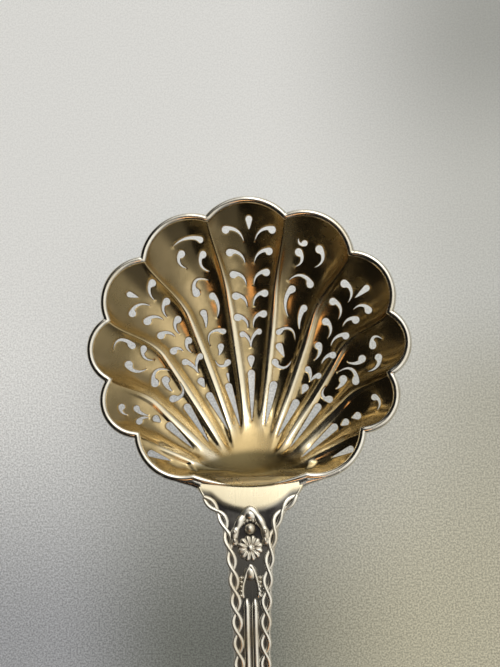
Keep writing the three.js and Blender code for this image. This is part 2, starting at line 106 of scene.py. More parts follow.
def bowl_line(place):
    """The line from the hub to the rim at a place: whole numbers from -5 to 5 are the lobes'
    middles, the halves between are ribs, and past 5.5 the rim is the heel's shallow arc. A
    lobe's edge is a circular arc between two notches. Returns the edge point, the turn between
    the rim and half way down, and the share across the lobe, -1 to 1."""
    place = np.asarray(place, float)
    lobe = np.clip(np.rint(place), -LOBES_PER_SIDE, LOBES_PER_SIDE)
    across = np.clip(2 * (place - lobe), -1, 1)
    ends, turns = [], []
    for rib in (lobe - 0.5, lobe + 0.5):
        angle = rib_value(rib, RIB_RIM_ANGLES, True)
        reach = rib_value(rib, NOTCH_REACH, False)
        ends.append(np.stack([np.sin(angle) * reach, np.cos(angle) * reach]))
        turns.append(rib_value(rib, RIB_MID_ANGLES, True))
    chord = ends[1] - ends[0]
    half = np.hypot(*chord) / 2
    sagitta = np.where(np.abs(lobe) < LOBES_PER_SIDE, LOBE_SAGITTA, END_SAGITTA)
    radius = (half**2 + sagitta**2) / (2 * sagitta)
    along = chord / (2 * half)
    outward = np.stack([-along[1], along[0]])
    swing = across * np.arcsin(half / radius)
    centre = (ends[0] + ends[1]) / 2 + outward * (sagitta - radius)
    edge = centre + radius * (outward * np.cos(swing) + along * np.sin(swing))
    turn = turns[0] + (turns[1] - turns[0]) * (across + 1) / 2 - np.arctan2(edge[0], edge[1])
    corner = NOTCH_REACH[-1] * np.array([np.sin(RIB_RIM_ANGLES[-1]), np.cos(RIB_RIM_ANGLES[-1])])
    heel = np.abs(place) > HEEL_START
    way = np.sign(place) * (HEEL_MIDDLE - np.abs(place))
    crown = (1 - way**2) * (HEEL_BACK + corner[1])
    edge = np.where(heel, np.stack([corner[0] * way, corner[1] - crown]), edge)
    return edge, np.where(heel, 0, turn), np.where(heel, 1, across)


def egg_share(edge):
    """How much further than the edge the egg lies, on the same line from the hub."""
    reach = np.hypot(*edge)
    way = edge / reach
    far = np.full(reach.shape, DISH_RADIUS)
    for _ in range(30):
        x, y = way * far - np.array([0, HUB_TO_CENTRE]).reshape(2, *[1] * reach.ndim)
        away = np.hypot(x, y)
        far = far + (DISH_RADIUS + DISH_LENGTH * y / away - away) * 0.7
    return far / reach


def plan_point(place, out):
    """The plan of a point: the edge point times out, turned back as the ribs bend inwards, and
    drawn towards the stem near the hub, because the ribs aim at a point behind it."""
    edge, turn, _ = bowl_line(place)
    turn = -turn * (1 - smooth(BEND_START, 1, out))
    x, y = edge * out
    drop = RIB_FOOT_DROP * (1 - out) * smooth(0, RIB_FOOT_REACH, np.hypot(x, y))
    drop = drop * (1 - smooth(LOBES_PER_SIDE - 1, HEEL_START, np.abs(place)))
    return np.stack([x * np.cos(turn) - y * np.sin(turn),
                     x * np.sin(turn) + y * np.cos(turn) - drop])


def from_rib(place, out):
    """The distance from the nearest rib: a lobe is as wide as a fixed share of the way out."""
    edge, _, across = bowl_line(place)
    return (1 - np.abs(across)) * (LOBE_SPAN / 2) * np.hypot(*edge) * out


def crest_share(place, out):
    """How much a point lies on a rib's flat crest, 0 to 1: a flat-topped bell of the distance
    from the rib over the crest's width, which shrinks towards the rim."""
    width = CREST_WIDTH * (1 - CREST_TAPER * smooth(0.5, 1, out))
    return np.exp(-((from_rib(place, out) / width) ** 3))


def dish_place(place, out):
    """Where the smooth dish is measured: the plan point, pushed out so that the rim lies on the
    egg, and left alone near the hub, so that the fan below the ribs stays smooth."""
    share = 1 + (egg_share(bowl_line(place)[0]) - 1) * smooth(FAN_END, 1, out)
    return plan_point(place, out) * share


def inside_height(place, out):
    """The dish, less a flute: flat-topped ribs on a shallow parabola. The ribs start at the edge
    of the smooth fan round the hub, where the flutes are shallow. Their tops lean slightly to
    the right. The flutes die away at the rim in a slight lip."""
    across = bowl_line(place)[2]
    away = 1 - np.abs(across)
    trough = RIDGE_SHARE + (1 - RIDGE_SHARE) * (2 * away - away**2)
    crest = crest_share(place, out)
    start = np.interp(np.abs(place), RIB_PLACES, RIB_START)
    growth = smooth(start, start + FLUTE_GROWTH, out)
    flute = (1 - crest) * trough * (FLUTE_SHALLOW + (1 - FLUTE_SHALLOW) * growth)
    flute = flute - CREST_LEAN * crest * np.sign(across) * from_rib(place, out)
    fade = smooth(start - 0.05, start + 0.06, out) * (1 - smooth(FLUTE_FADE, 1, out))
    lip = LIP * smooth(LIP_START, 1, out)
    return dish_height(*dish_place(place, out)) - FLUTE_DEPTH * flute * fade - lip


def outside_height(place, out):
    """The inside less the sheet, measured square to the dish."""
    return inside_height(place, out) - SHEET * dish_steepness(*dish_place(place, out))


BOWL_FLOOR = outside_height(*np.meshgrid(LOBES, np.linspace(0.1, 1, 60))).min()
STEM_REACH = 118.0
stem_low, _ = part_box("stem")
HUB = np.array([0, stem_low[1] / MM + STEM_REACH, -BOWL_FLOOR])


def add_mesh(name, points, faces, node):
    """A piece from points in millimetres from the hub and faces, riding on the spoon, in place
    of one of its CAD nodes."""
    mesh = bpy.data.meshes.new(name)
    mesh.from_pydata(((points + HUB) * MM).tolist(), [], faces)
    mesh.shade_smooth()
    piece = bpy.data.objects.new(name, mesh)
    bpy.context.collection.objects.link(piece)
    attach(piece, "root")
    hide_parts(node)
    return piece


def set_mask(piece, name, values):
    """A number between 0 and 1 at each point of a piece, which its material reads."""
    attribute = piece.data.attributes.new(name, "FLOAT", "POINT")
    attribute.data.foreach_set("value", np.asarray(values, np.float32))


# ---- The piercings ----
# Fret-sawn commas, each from a round head to a point. Lobes alternate between a spine of leaves
# and a scroll, and the saw's two sides differ. A row is head across, head out, tip across, tip
# out, head size and bow, with across as a share of half a lobe, away from the middle, and bow
# as a share of the comma's length.
PIERCE_RADIUS = 0.6
SCROLL_LEFT = [
    [-0.65, 0.92, 0.15, 0.925, 0.85, 0.15], [0.02, 0.892, 0.14, 0.844, 0.95, 0.3],
    [-0.54, 0.868, -0.53, 0.806, 0.95, 0.3], [0.32, 0.76, -0.36, 0.775, 1, -0.45],
    [-0.28, 0.72, -0.21, 0.64, 0.95, -0.15], [0.33, 0.686, 0.46, 0.635, 0.9, -0.05],
    [-0.42, 0.589, 0.52, 0.567, 0.75, 0.42], [-0.06, 0.54, 0.22, 0.516, 0.9, -0.05],
    [-0.27, 0.477, 0.51, 0.52, 0.85, -0.35], [0.1, 0.395, -0.17, 0.24, 1, 0],
    [-0.06, 0.437, -0.02, 0.405, 0.4, 0],
]
SCROLL_RIGHT = [
    [-0.35, 0.899, -0.56, 0.918, 0.8, 0.35], [0.09, 0.899, 0.2, 0.837, 1.05, 0.3],
    [-0.44, 0.867, -0.42, 0.815, 1, 0.3], [0.37, 0.786, -0.53, 0.762, 1, -0.3],
    [-0.29, 0.736, -0.25, 0.637, 1.05, -0.15], [0.43, 0.7, 0.47, 0.623, 1, -0.08],
    [-0.64, 0.581, 0.38, 0.574, 0.75, 0.42], [-0.49, 0.528, -0.06, 0.495, 1, 0],
    [-0.62, 0.472, 0.47, 0.508, 0.9, -0.35], [-0.47, 0.388, -0.58, 0.24, 1.05, 0],
]
LEAVES_LEFT = [
    [-0.05, 0.917, -0.11, 0.888, 0.8, 0], [-0.75, 0.902, -0.32, 0.841, 1, 0.2],
    [-0.58, 0.817, -0.14, 0.767, 1, 0.2], [-0.45, 0.738, -0.22, 0.687, 1, 0.2],
    [-0.47, 0.647, -0.36, 0.6, 1, 0.2], [0.4, 0.885, -0.08, 0.839, 0.95, -0.25],
    [0.41, 0.829, 0.04, 0.776, 1.05, -0.2], [0.55, 0.765, 0.04, 0.694, 1, -0.2],
    [0.49, 0.679, 0.04, 0.63, 1, -0.2], [0.25, 0.6, -0.14, 0.519, 0.9, -0.1],
    [-0.7, 0.573, -0.18, 0.519, 0.9, 0.15], [-0.08, 0.49, -0.1, 0.46, 1, 0],
    [-0.17, 0.421, -0.54, 0.26, 1, 0],
]
LEAVES_RIGHT = [
    [-0.08, 0.908, -0.06, 0.856, 0.9, 0], [-0.65, 0.876, -0.09, 0.824, 1.05, 0.25],
    [-0.53, 0.796, 0.09, 0.757, 1, 0.25], [-0.36, 0.716, 0.05, 0.672, 1, 0.2],
    [-0.24, 0.621, -0.14, 0.565, 1, 0.15], [0.49, 0.884, 0.22, 0.827, 1, -0.25],
    [0.54, 0.828, 0.42, 0.767, 1.05, -0.2], [0.77, 0.775, 0.41, 0.671, 1, -0.2],
    [0.77, 0.676, 0.39, 0.587, 0.95, -0.15], [0.58, 0.553, 0.22, 0.494, 0.85, -0.1],
    [-0.29, 0.519, 0.18, 0.494, 0.85, 0.1], [0.06, 0.458, 0.05, 0.43, 1, 0],
    [-0.11, 0.383, -0.44, 0.23, 1.05, 0],
]
HOOKS_LEFT = [
    [-0.59, 0.853, -0.2, 0.905, 0.95, 0.45], [-0.65, 0.811, -0.48, 0.747, 0.9, 0.3],
    [0.08, 0.845, -0.04, 0.763, 1.05, 0.25], [0.32, 0.72, -0.75, 0.664, 1, -0.42],
    [-0.25, 0.655, -0.15, 0.6, 1.1, 0.1], [0.14, 0.592, -0.8, 0.6, 1, 0.35],
    [-0.24, 0.498, 0.3, 0.325, 1, 0],
]
HOOKS_RIGHT = [
    [-0.34, 0.848, -0.42, 0.895, 0.95, 0.5], [0.09, 0.862, 0.44, 0.818, 1, 0.2],
    [-0.06, 0.79, -0.4, 0.716, 1.05, 0.15], [0.6, 0.764, -0.5, 0.648, 1, -0.4],
    [-0.01, 0.665, 0, 0.61, 1.1, 0.1], [0.1, 0.56, -0.62, 0.565, 0.95, 0.35],
    [-0.25, 0.48, 0.02, 0.265, 1, 0],
]
SHORT_LEFT = [
    [-0.39, 0.9, -0.16, 0.872, 0.85, 0.2], [-0.41, 0.826, -0.3, 0.755, 0.85, 0.1],
    [0.02, 0.823, -0.19, 0.757, 0.9, -0.15], [-0.34, 0.71, -0.34, 0.675, 0.95, 0],
    [-0.48, 0.614, -0.24, 0.437, 1, 0],
]
SHORT_RIGHT = [
    [-0.54, 0.87, -0.12, 0.89, 0.85, 0.25], [-0.06, 0.775, -0.1, 0.735, 1.05, 0],
    [-0.11, 0.69, -0.12, 0.655, 0.95, 0], [-0.3, 0.6, 0, 0.36, 1, 0],
]
HEEL_SLOT = [[-0.57, 0.92, -0.3, 0.785, 0.9, 0]]


def stalk():
    """The middle lobe: a teardrop, five pairs of leaves down a stalk, a fork, a dot and a long
    slot. The stalk leans across, from 0.04 near the rim to -0.3 near the hub."""
    rows = [[0, 0.938, 0, 0.905, 0.95, 0]]
    for out in np.linspace(0.925, 0.63, 5):
        rows += [[s * 0.62, out, s * 0.16, out - 0.058, 1.02, s * -0.22] for s in (-1, 1)]
    rows += [[s * 0.43, 0.562, s * 0.04, 0.503, 0.85, s * -0.15] for s in (-1, 1)]
    rows = np.array(rows + [[0, 0.466, 0, 0.435, 1, 0], [0, 0.415, 0, 0.245, 1, 0]])
    for across, out in ((0, 1), (2, 3)):
        rows[:, across] += np.interp(rows[:, out], [0.25, 0.93], [-0.3, 0.04])
    return rows.tolist()


PATTERNS = {
    -5: HEEL_SLOT, -4: SHORT_LEFT, -3: HOOKS_LEFT, -2: LEAVES_LEFT, -1: SCROLL_LEFT, 0: stalk(),
    1: SCROLL_RIGHT, 2: LEAVES_RIGHT, 3: HOOKS_RIGHT, 4: SHORT_RIGHT, 5: HEEL_SLOT}
COMMAS = np.array([[lobe, *row] for lobe, rows in PATTERNS.items() for row in rows])
HEAD_POINTS, FLANK_POINTS = 9, 12
FLANK_TAPER, BALL_REACH, TAIL_SHARE, FULL_BOW = 0.75, 1.15, 0.16, 0.18


def comma_outlines(commas):
    """Each comma's outline: half a circle round the head, then the two flanks of a quadratic
    curve to the tip. The outer flank tapers evenly; the inner one follows the round head and
    then the thin tail, so a bowed comma has a ball and a hooked tail."""
    lobe, head_across, head_out, tip_across, tip_out, size, bow = commas.T
    mirror = np.where(lobe < 0, -1, 1)
    head = plan_point(lobe + mirror * head_across / 2, head_out)
    tip = plan_point(lobe + mirror * tip_across / 2, tip_out)
    way = tip - head
    control = (head + tip) / 2 + 2 * bow * mirror * np.stack([-way[1], way[0]])
    radius = size * PIERCE_RADIUS
    length = np.hypot(*way)
    heading = np.arctan2(control[1] - head[1], control[0] - head[0])
    turn = heading + np.pi * np.linspace(0.5, 1.5, HEAD_POINTS)[:, None]
    arc = head[:, None] + radius * np.stack([np.cos(turn), np.sin(turn)])
    share = (np.arange(1, FLANK_POINTS + 1) / FLANK_POINTS)[:, None]
    spine = (head[:, None] * (1 - share) ** 2 + 2 * control[:, None] * share * (1 - share)
             + tip[:, None] * share**2)
    slope = (control - head)[:, None] * (1 - share) + (tip - control)[:, None] * share
    slope = slope / np.hypot(*slope)
    square = np.stack([-slope[1], slope[0]])
    even = radius * (1 - share) ** FLANK_TAPER
    ball = np.sqrt(np.maximum(radius**2 - (share * length * BALL_REACH) ** 2, 0))
    hooked = np.maximum(ball, TAIL_SHARE * radius * (1 - share))
    bowed = np.clip(np.abs(bow) / FULL_BOW, 0, 1)
    inner = even * (1 - bowed) + hooked * bowed
    left = np.where(bow * mirror >= 0, even, inner)
    right = np.where(bow * mirror >= 0, inner, even)
    flanks = [spine - square * right, (spine + square * left)[:, -2::-1]]
    return np.concatenate([arc, *flanks], axis=1).transpose(2, 1, 0)


def place_of(points, place, out):
    """The place and the share out of plan points, by Newton's method from a near guess."""
    step = 1e-4
    for _ in range(12):
        here = plan_point(place, out)
        by_place = (plan_point(place + step, out) - here) / step
        by_out = (plan_point(place, out + step) - here) / step
        miss = points - here
        turn = by_place[0] * by_out[1] - by_place[1] * by_out[0]
        change = np.stack([miss[0] * by_out[1] - miss[1] * by_out[0],
                           by_place[0] * miss[1] - by_place[1] * miss[0]]) / turn
        change = np.clip(change, -0.1, 0.1)
        place, out = place + change[0], out + change[1]
    return place, out


outlines = comma_outlines(COMMAS)
comma_count, comma_points = outlines.shape[:2]
mirrored = np.where(COMMAS[:, 0] < 0, -1, 1)
guess = [COMMAS[:, 0] + mirrored * (COMMAS[:, 1] + COMMAS[:, 3]) / 4,
         (COMMAS[:, 2] + COMMAS[:, 4]) / 2]


def ring_round(distance):
    """The commas' outlines, moved outwards square to themselves by a distance."""
    along = np.roll(outlines, -1, axis=1) - np.roll(outlines, 1, axis=1)
    along = along / np.linalg.norm(along, axis=2, keepdims=True)
    return outlines + distance * np.stack([along[..., 1], -along[..., 0]], axis=2)


def on_bowl(rings):
    """The places and shares out of rings round the commas, as two flat arrays."""
    near = [np.repeat(value[:, None], comma_points, axis=1).ravel() for value in guess]
    return place_of(rings.reshape(-1, 2).T, *near)


def clear_of_commas(points, margin, skip=None):
    """Which points lie outside every comma by a margin. A ray to the right crosses an outline
    an even number of times from outside. Points of ring number skip ignore their own comma's
    margin."""
    clear = np.ones(len(points), bool)
    for number, outline in enumerate(outlines):
        near = np.all((points > outline.min(0) - 1) & (points < outline.max(0) + 1), axis=1)
        x, y = points[near, :, None].transpose(1, 0, 2)
        (x1, y1), (x2, y2) = outline.T, np.roll(outline, -1, axis=0).T
        rising = (y1 > y) != (y2 > y)
        cross = x < x1 + (y - y1) * (x2 - x1) / np.where(y2 == y1, 1, y2 - y1)
        inside = (rising & cross).sum(axis=1) % 2 == 1
        gap = np.hypot(x - x1, y - y1).min(axis=1)
        close = gap < margin
        if skip is not None:
            close &= skip[near] != number
        clear[near] &= ~(inside | close)
    return clear


# ---- The bowl's sheet ----
# The pressed and pierced sheet itself: gilt inside, plain silver outside. The saw's edges are
# burnished, so each hole's edge is rounded. The mesh joins rows of points round the lobes to the
# commas' outlines, and the same net makes the inside and the outside.
EDGE_RINGS, EDGE_DROP, NET_MARGIN = [0.07, 0.17], 0.07, 0.3
RIM_CELLS, HEEL_POINTS, MOST_CELLS = 40, 12, 32
FAN_ROWS, LOBE_ROWS, FIRST_ROW, LAST_ROW = 22, 88, 0.03, 0.985
rim_places = np.concatenate([
    np.arange(-HEEL_START, HEEL_START, 1 / RIM_CELLS),
    np.linspace(HEEL_START, HEEL_MIDDLE, HEEL_POINTS)[:-1],
    np.linspace(-HEEL_MIDDLE, -HEEL_START, HEEL_POINTS)[:-1]])
rows = []
for out in np.concatenate([np.linspace(FIRST_ROW, FAN_END, FAN_ROWS)[:-1],
                           np.linspace(FAN_END, LAST_ROW, LOBE_ROWS)]):
    cells = int(np.clip(np.rint(RIM_CELLS * out + 2), 3, MOST_CELLS))
    spread = np.sin(np.linspace(-1, 1, cells + 1)[:-1] * np.pi / 2) / 2
    lobes = (LOBES[:, None] + spread).ravel()
    heel_cells = int(np.clip(np.rint(HEEL_POINTS * out), 2, HEEL_POINTS))
    heel_right = np.linspace(HEEL_START, HEEL_MIDDLE, heel_cells + 1)
    heel_left = np.linspace(-HEEL_MIDDLE, -HEEL_START, heel_cells + 1)[1:-1]
    places = np.concatenate([lobes, heel_right, heel_left])
    rows.append(np.stack([places, np.full(places.shape, out)]))
net = np.concatenate([np.array([[0.0], [0.0]]), *rows], axis=1)
net = net[:, clear_of_commas(plan_point(*net).T, NET_MARGIN)]
rings, owner = [], np.repeat(np.arange(comma_count), comma_points)
for distance in EDGE_RINGS:
    ring = ring_round(distance)
    places = np.stack(on_bowl(ring))
    free = clear_of_commas(ring.reshape(-1, 2), distance * 0.9, owner)
    rings.append(places[:, free])
comma_places = np.stack(on_bowl(outlines))
rim = np.stack([rim_places, np.ones(rim_places.shape)])
spots = np.concatenate([rim, comma_places, net, *rings], axis=1)
plan = plan_point(*spots).T
loops = [np.arange(len(rim_places))[::-1]]
for number in range(comma_count):
    loops.append(len(rim_places) + number * comma_points + np.arange(comma_points))
flat, _, triangles, origin, _, sources = delaunay_2d_cdt(
    [Vector(point) for point in plan.tolist()], [], [loop.tolist() for loop in loops], 1, 1e-5)
flat = np.array([point[:] for point in flat])
sheet_top = np.array([tri for tri, source in zip(triangles, sources) if source == [0]])
origin = np.array([found[0] if found else -1 for found in origin])
drops = np.zeros(len(plan))
drops[len(rim_places):len(rim_places) + comma_count * comma_points] = EDGE_DROP
drops[len(rim_places) + comma_places.shape[1] + net.shape[1]:][:rings[0].shape[1]] = EDGE_DROP / 4
place, out = spots[:, origin]
drop = drops[origin]
for point in np.flatnonzero(origin < 0):
    nearest = np.hypot(*(plan - flat[point]).T).argmin()
    place[point], out[point] = place_of(flat[point], *spots[:, nearest])
    drop[point] = EDGE_DROP
top = np.column_stack([flat, inside_height(place, out) - drop])
bottom = np.column_stack([flat, outside_height(place, out) + drop])
sides = sheet_top[:, [0, 1, 1, 2, 2, 0]].reshape(-1, 2)
_, first, uses = np.unique(np.sort(sides, axis=1), axis=0, return_index=True, return_counts=True)
edge = sides[first[uses == 1]]
walls = np.column_stack([edge[:, ::-1], edge + len(flat)])
faces = sheet_top.tolist() + walls.tolist() + (sheet_top[:, ::-1] + len(flat)).tolist()
bowl = add_mesh("bowl_sheet", np.concatenate([top, bottom]), faces, "bowl")

# Where the gilding is rubbed, with a painted highlight on it: the crests between the fan and the
# rim. Where painted shade darkens it: the pocket behind the hub, whose edge is a shallow arc.
POCKET_EDGE, POCKET_ARC, POCKET_SIDES = (3.5, 2.1), 0.03, (12, 9)
# The crest mask carries rubbed gilt and a painted highlight along the ribs.
crest = crest_share(place, out) * smooth(0.2, 0.3, out) * smooth(0.86, 0.72, out)
# The pocket's mask carries painted shade on the steep heel wall.
pocket = smooth(*POCKET_EDGE, flat[:, 1] + POCKET_ARC * flat[:, 0]**2)
pocket = pocket * smooth(*POCKET_SIDES, np.abs(flat[:, 0]))
for name, values in (("crest", crest), ("way_out", out), ("pocket", pocket)):
    set_mask(bowl, name, np.concatenate([values, values]))
below = np.arange(len(faces)) >= len(sheet_top) + len(walls)
bowl.data.polygons.foreach_set("material_index", below.astype(np.int32))


# ---- Finishes shared by the bowl and the stem ----
def node(tree, kind, settings=(), **values):
    """A node with its settings and its inputs' values, or links from other sockets."""
    made = tree.nodes.new(kind)
    for name, value in dict(settings).items():
        setattr(made, name, value)
    for name, value in values.items():
        socket = made.inputs[int(name[1:])] if name[1:].isdigit() else made.inputs[name]
        if isinstance(value, bpy.types.NodeSocket):
            tree.links.new(value, socket)
        else:
            socket.default_value = value
    return made


def maths(tree, operation, first, second):
    """One sum of two numbers or sockets."""
    return node(tree, "ShaderNodeMath", {"operation": operation}, _0=first, _1=second).outputs[0]


BLOTCH_SIZE, HAIRLINES, HAIRLINE_TURNS = 0.006, (4200.0, 170.0, 900.0), (0.5, -0.9)


def patina():
    """Handled silver: soft blotches of tarnish, of a given size in metres, and fine hairlines
    both ways, all as noise in the object's own coordinates."""
    group = bpy.data.node_groups.new("patina", "ShaderNodeTree")
    size = group.interface.new_socket("Blotch size", in_out="INPUT",
                                      socket_type="NodeSocketFloat")
    size.default_value = BLOTCH_SIZE
    for label in ("Blotch", "Hairline"):
        group.interface.new_socket(label, in_out="OUTPUT", socket_type="NodeSocketFloat")
    given = node(group, "NodeGroupInput").outputs
    place = node(group, "ShaderNodeTexCoord").outputs["Object"]
    blotch = node(group, "ShaderNodeTexNoise", Vector=place, Detail=5.0, Roughness=0.6,
                  Scale=maths(group, "DIVIDE", 1.0, given["Blotch size"]))
    lines = []
    for turn in HAIRLINE_TURNS:
        turned = node(group, "ShaderNodeMapping", Vector=place, Rotation=(0.0, 0.0, turn),
                      Scale=HAIRLINES)
        lines.append(node(group, "ShaderNodeTexNoise", Vector=turned.outputs[0], Scale=1.0,
                          Detail=1.0).outputs[0])
    node(group, "NodeGroupOutput", Blotch=blotch.outputs[0],
         Hairline=maths(group, "MAXIMUM", *lines))
    return group


PATINA = patina()


def ramp(tree, value, low, high, out_low=0.0, out_high=1.0):
    """A number carried smoothly from one range to another."""
    made = node(tree, "ShaderNodeMapRange", {"interpolation_type": "SMOOTHSTEP"})
    tree.links.new(value, made.inputs["Value"])
    for name, number in (("From Min", low), ("From Max", high), ("To Min", out_low),
                         ("To Max", out_high)):
        made.inputs[name].default_value = number
    return made.outputs["Result"]


def mix(tree, share, first, second):
    """Two colours mixed by a share."""
    made = node(tree, "ShaderNodeMix", {"data_type": "RGBA"})
    for name, value in (("Factor_Float", share), ("A_Color", first), ("B_Color", second)):
        socket = next(item for item in made.inputs if item.identifier == name)
        if isinstance(value, bpy.types.NodeSocket):
            tree.links.new(value, socket)
        else:
            socket.default_value = value
    return next(item for item in made.outputs if item.identifier == "Result_Color")


def mask(tree, name):
    """A piece's mask, by its name."""
    return node(tree, "ShaderNodeAttribute", {"attribute_name": name}).outputs["Fac"]


def metal(name, colour_of, roughness, hairline_depth):
    """A metal whose colour is worked out by colour_of from the patina, whose roughness grows
    with the blotches, and whose hairlines are scratches of a depth in metres."""
    material = bpy.data.materials.new(name)
    material.use_nodes = True
    tree = material.node_tree
    shader = tree.nodes["Principled BSDF"]
    surface = node(tree, "ShaderNodeGroup", {"node_tree": PATINA})
    shader.inputs["Metallic"].default_value = 1.0
    tree.links.new(colour_of(tree, surface.outputs), shader.inputs["Base Color"])
    tree.links.new(ramp(tree, surface.outputs["Blotch"], 0.35, 0.75, *roughness),
                   shader.inputs["Roughness"])
    bump = node(tree, "ShaderNodeBump", Strength=0.5, Distance=hairline_depth,
                Height=surface.outputs["Hairline"])
    tree.links.new(bump.outputs[0], shader.inputs["Normal"])
    return material


# The bowl's finishes: fire gilding inside, rubbed paler on the ribs and the hub's fan, with a
# painted highlight on the ribs, and painted shade in the pocket behind the hub; plain silver
# outside.
# The palest gold is rubbed gilt with a painted highlight for the crests; the olive is painted shade
# for the pocket behind the hub.
GOLD, GOLD_DEEP, GOLD_RUBBED_AND_HIGHLIGHT = (0.59, 0.465, 0.26, 1), (0.39, 0.31, 0.165, 1), (0.94, 0.87, 0.69, 1)
GOLD_FAN, GOLD_PAINTED_SHADE = (0.74, 0.56, 0.28, 1), (0.17, 0.14, 0.07, 1)
SILVER_CLEAN, SILVER_TARNISHED = (0.88, 0.86, 0.8, 1), (0.68, 0.62, 0.5, 1)


def gilt_colour(tree, surface):
    """Gold from pale to deep by the blotches, palest on the crests, where the rub carries a painted
    highlight, yellower on the fan round the hub, and olive in the pocket behind it, as painted
    shade."""
    gold = mix(tree, ramp(tree, surface["Blotch"], 0.35, 0.7), GOLD, GOLD_DEEP)
    # The crests: rubbed gilt, with a painted highlight.
    rubbed_and_highlight = maths(tree, "MULTIPLY", mask(tree, "crest"), 0.9)
    gold = mix(tree, rubbed_and_highlight, gold, GOLD_RUBBED_AND_HIGHLIGHT)
    fan = ramp(tree, mask(tree, "way_out"), FAN_END, 0.14)
    gold = mix(tree, maths(tree, "MULTIPLY", fan, 0.8), gold, GOLD_FAN)
    # The pocket behind the hub: painted shade.
    return mix(tree, maths(tree, "MULTIPLY", mask(tree, "pocket"), 0.9), gold, GOLD_PAINTED_SHADE)


def silver_colour(tree, surface):
    """Silver with a warm cast where it has tarnished."""
    return mix(tree, ramp(tree, surface["Blotch"], 0.4, 0.75), SILVER_CLEAN, SILVER_TARNISHED)


GILT = metal("gilt_inside", gilt_colour, (0.13, 0.34), 0.000012)
SILVER = metal("polished_silver", silver_colour, (0.12, 0.28), 0.000006)
bowl.data.materials.append(GILT)
bowl.data.materials.append(SILVER)

# ---- The bowl's rim ----
# The sheet's edge, thickened and rounded with a file and burnisher until the silver shows. It
# thins along the heel, where the stem's plate meets the bowl.


def grid_faces(rows, columns, closed=False, start=0):
    """The four-sided faces of a grid of points, turned round its columns, and closed into a ring
    of rows where asked."""
    row = np.arange(rows if closed else rows - 1)[:, None]
    column = np.arange(columns)[None]
    after, across = (row + 1) % rows, (column + 1) % columns
    corners = [row * columns + column, row * columns + across,
               after * columns + across, after * columns + column]
    return start + np.stack(corners, axis=-1).reshape(-1, 4)


def tube(path, across, up, half_across, half_up, sides=16, power=1.0):
    """An oval carried along a path: each row is the path's point plus the cosine of a turn
    times one axis and its sine times the other. A power under 1 flattens the oval's sides."""
    turn = np.linspace(0, 2 * np.pi, sides, endpoint=False)[None, :, None]
    wide = np.sign(np.cos(turn)) * np.abs(np.cos(turn)) ** power
    high = np.sign(np.sin(turn)) * np.abs(np.sin(turn)) ** power
    half_across = np.broadcast_to(half_across, len(path))[:, None, None]
    half_up = np.broadcast_to(half_up, len(path))[:, None, None]
    return path[:, None] + across[:, None] * half_across * wide + up[:, None] * half_up * high


def closed_tube(points, start=0):
    """The faces of an open tube with both ends capped."""
    rows, sides = points.shape[:2]
    last = start + (rows - 1) * sides
    return (grid_faces(rows, sides, start=start).tolist()
            + [(start + np.arange(sides))[::-1].tolist(), (last + np.arange(sides)).tolist()])


def spline(table, steps=24):
    """A smooth curve through a table's rows: Catmull and Rom's cubic between each pair."""
    padded = np.concatenate([[2 * table[0] - table[1]], table, [2 * table[-1] - table[-2]]])
    a, b, c, d = (padded[step:len(table) - 1 + step, None] for step in range(4))
    t = np.linspace(0, 1, steps, endpoint=False)[None, :, None]
    curve = b + (c - a) / 2 * t + (a - 2.5 * b + 2 * c - d / 2) * t**2 + (
        1.5 * (b - c) + (d - a) / 2) * t**3
    return np.concatenate([curve.reshape(-1, table.shape[1]), table[-1:]])


RIM_FULL, RIM_FLAT, RIM_LOSS, RIM_STEPS = 1.2, 0.92, 0.6, 30
rim_steps = np.concatenate([
    np.arange(-HEEL_START, HEEL_START, 1 / RIM_STEPS),
    np.linspace(HEEL_START, 2 * HEEL_MIDDLE - HEEL_START, 41)[:-1]])
rim_round = np.where(rim_steps > HEEL_MIDDLE, rim_steps - 2 * HEEL_MIDDLE, rim_steps)
rim_path = np.column_stack([plan_point(rim_round, 1.0).T, inside_height(rim_round, 1.0)])
along = np.roll(rim_path, -1, axis=0) - np.roll(rim_path, 1, axis=0)
along[:, 2] = 0
along /= np.linalg.norm(along, axis=1, keepdims=True)
rim_across = np.stack([-along[:, 1], along[:, 0], 0 * along[:, 0]], axis=1)
rim_up = np.tile([0.0, 0.0, 1.0], (len(rim_path), 1))
heel_fade = smooth(HEEL_START, 6.2, np.abs(rim_round))
rim_half = RIM_FULL * RIM_RADIUS * (1 - RIM_LOSS * heel_fade)
rim_path[:, 2] -= RIM_RADIUS
points = tube(rim_path, rim_across, rim_up, rim_half, RIM_FLAT * rim_half)
rim_piece = add_mesh("bowl_rim", points.reshape(-1, 3),
                     grid_faces(*points.shape[:2], closed=True).tolist(), "bowl")
rim_piece.data.materials.append(SILVER)

# Wings of the stem's plate, dressed down along the end lobes: bands between the rim and a line
# that runs on from the rim to the stem's edge, thin and rounded like the rim itself.
WING_LINE = np.array([[14.6, -0.75], [11.7, -1.95], [9.5, -2.6], [8.0, -3.3]])
WING_RIM, WING_STEPS = [5.08, 5.5, 5.65], 13
WING_SINK, WING_LAP, WING_HALF = 0.95, 0.2, 0.45
for name, side in (("left", -1), ("right", 1)):
    outer = spline(WING_LINE * [side, 1], WING_STEPS)
    count = len(outer)
    rim_place = side * np.interp(np.linspace(0, 1, count), [0, 0.75, 1], WING_RIM)
    inner = plan_point(rim_place, 1.0).T
    gap = outer - inner
    width = np.hypot(*gap.T)
    level = np.full(count, RIM_HEIGHT + RIM_SLOPE - WING_SINK)
    wing_across = np.column_stack([gap / width[:, None], 0 * width]) * side
    points = tube(np.column_stack([(inner + outer) / 2, level]), wing_across,
                  np.tile([0.0, 0.0, 1.0], (count, 1)), width / 2 + WING_LAP, WING_HALF)
    wing = add_mesh(f"wing_{name}", points.reshape(-1, 3), closed_tube(points), "stem")
    wing.data.materials.append(SILVER)

